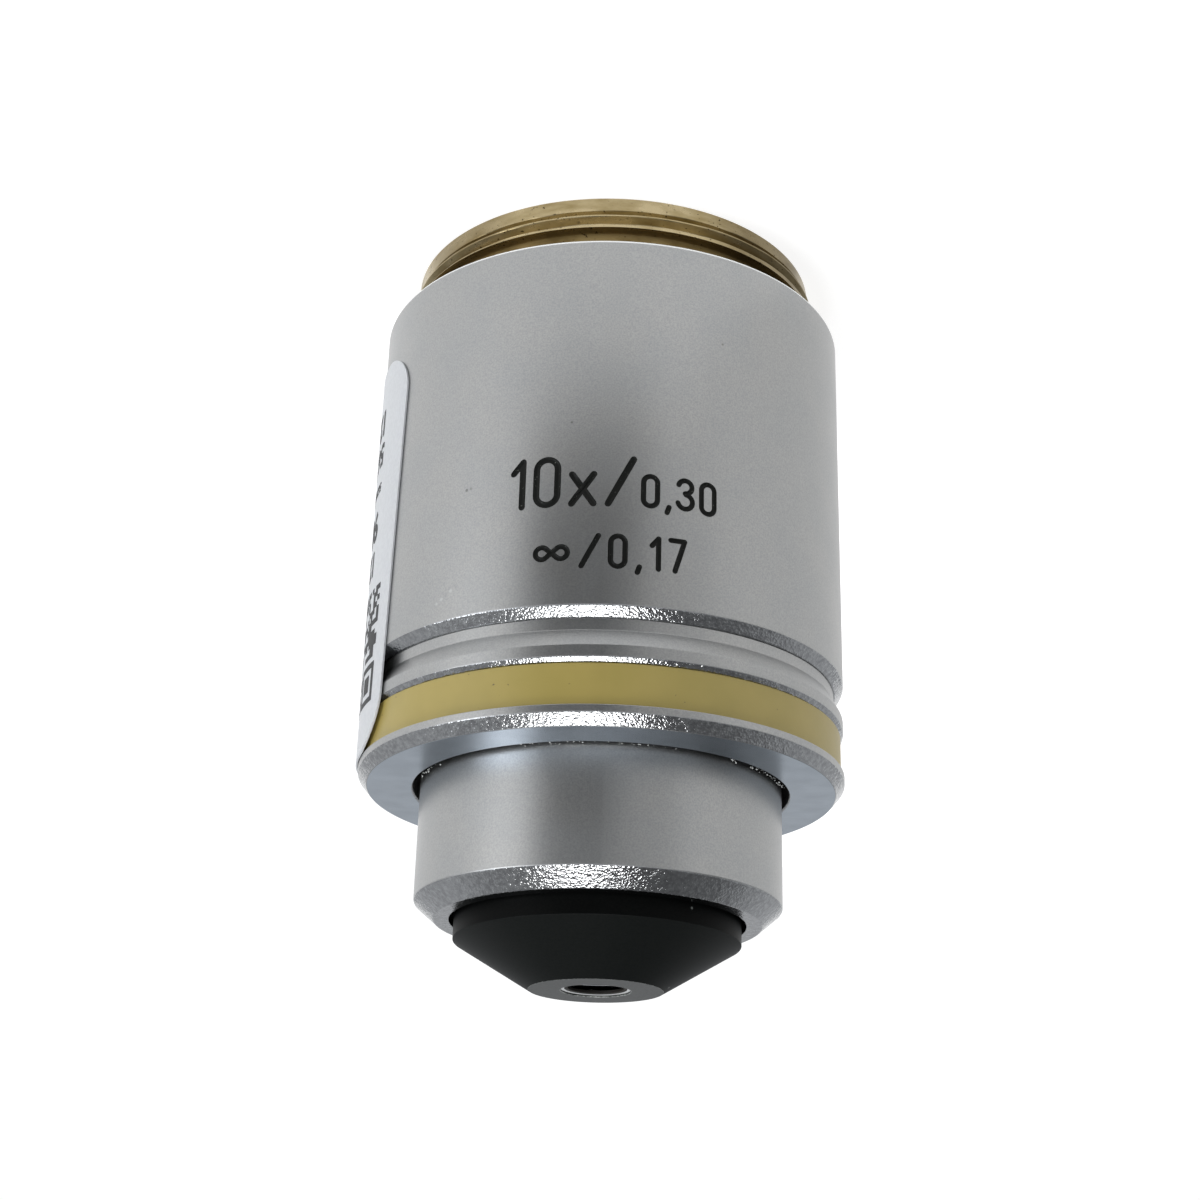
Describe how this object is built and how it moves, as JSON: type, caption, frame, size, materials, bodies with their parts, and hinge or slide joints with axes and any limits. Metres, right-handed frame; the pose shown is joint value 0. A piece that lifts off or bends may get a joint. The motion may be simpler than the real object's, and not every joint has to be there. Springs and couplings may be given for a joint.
{
  "type": "microscope objective",
  "caption": "Microscope objective with a threaded brass mount, a satin sleeve, a colour ring and a spring-loaded nose with a black conical front.",
  "frame": {"origin": "centre of the mounting shoulder, on the optical axis", "axes": "+Z along the optical axis from the threaded mount towards the specimen; -Y faces the viewer of the picture"},
  "size_m": [0.0303, 0.0302, 0.047],
  "materials": {
    "turned_brass": "turned, slightly tarnished",
    "satin_chrome": "fine blasted satin chrome",
    "yellow_lacquer": "semi-matt lacquer",
    "black_anodised": "satin black anodised",
    "blackened_brass": "chemically blackened, matt",
    "spring_steel": "bright drawn",
    "bright_steel": "bright turned",
    "optical_glass": "polished and coated",
    "label_paper": "smooth white sticker"
  },
  "bodies": {
    "barrel": {"mount_body": "turned_brass", "outer_sleeve": "satin_chrome", "front_barrel": "satin_chrome", "magnification_ring": "yellow_lacquer", "spring_seat_ring": "blackened_brass", "rear_glare_stop": "black_anodised", "guide_screw": "spring_steel", "return_spring": "spring_steel", "stock_label": "label_paper"},
    "nose": {"lens_tube": "blackened_brass", "nose_sleeve": "satin_chrome", "nose_cone": "black_anodised", "front_bezel": "bright_steel", "front_lens": "optical_glass", "front_lens_retainer": "blackened_brass", "second_lens": "optical_glass", "second_lens_cell": "blackened_brass", "second_lens_retainer": "blackened_brass", "second_cell_lock_ring": "blackened_brass", "front_doublet_cell": "blackened_brass", "front_doublet_crown": "optical_glass", "front_doublet_flint": "optical_glass", "front_doublet_retainer": "blackened_brass", "triplet_cell": "blackened_brass", "triplet_front_crown": "optical_glass", "triplet_flint": "optical_glass", "triplet_rear_crown": "optical_glass", "triplet_retainer": "blackened_brass", "middle_doublet_cell": "blackened_brass", "middle_doublet_crown": "optical_glass", "middle_doublet_flint": "optical_glass", "middle_doublet_retainer": "blackened_brass", "air_spacer": "blackened_brass", "rear_doublet_cell": "blackened_brass", "rear_doublet_flint": "optical_glass", "rear_doublet_crown": "optical_glass", "rear_doublet_retainer": "blackened_brass", "closing_spacer": "blackened_brass", "lens_lock_ring": "blackened_brass"}
  },
  "joints": [
    {"name": "nose_retract", "type": "slide", "parent": "barrel", "child": "nose", "axis": [0, 0, -1], "range_m": [0, 0.0025], "stiffness_N_per_m": 600, "springref_m": -0.004, "deforming": ["return_spring"]}
  ]
}
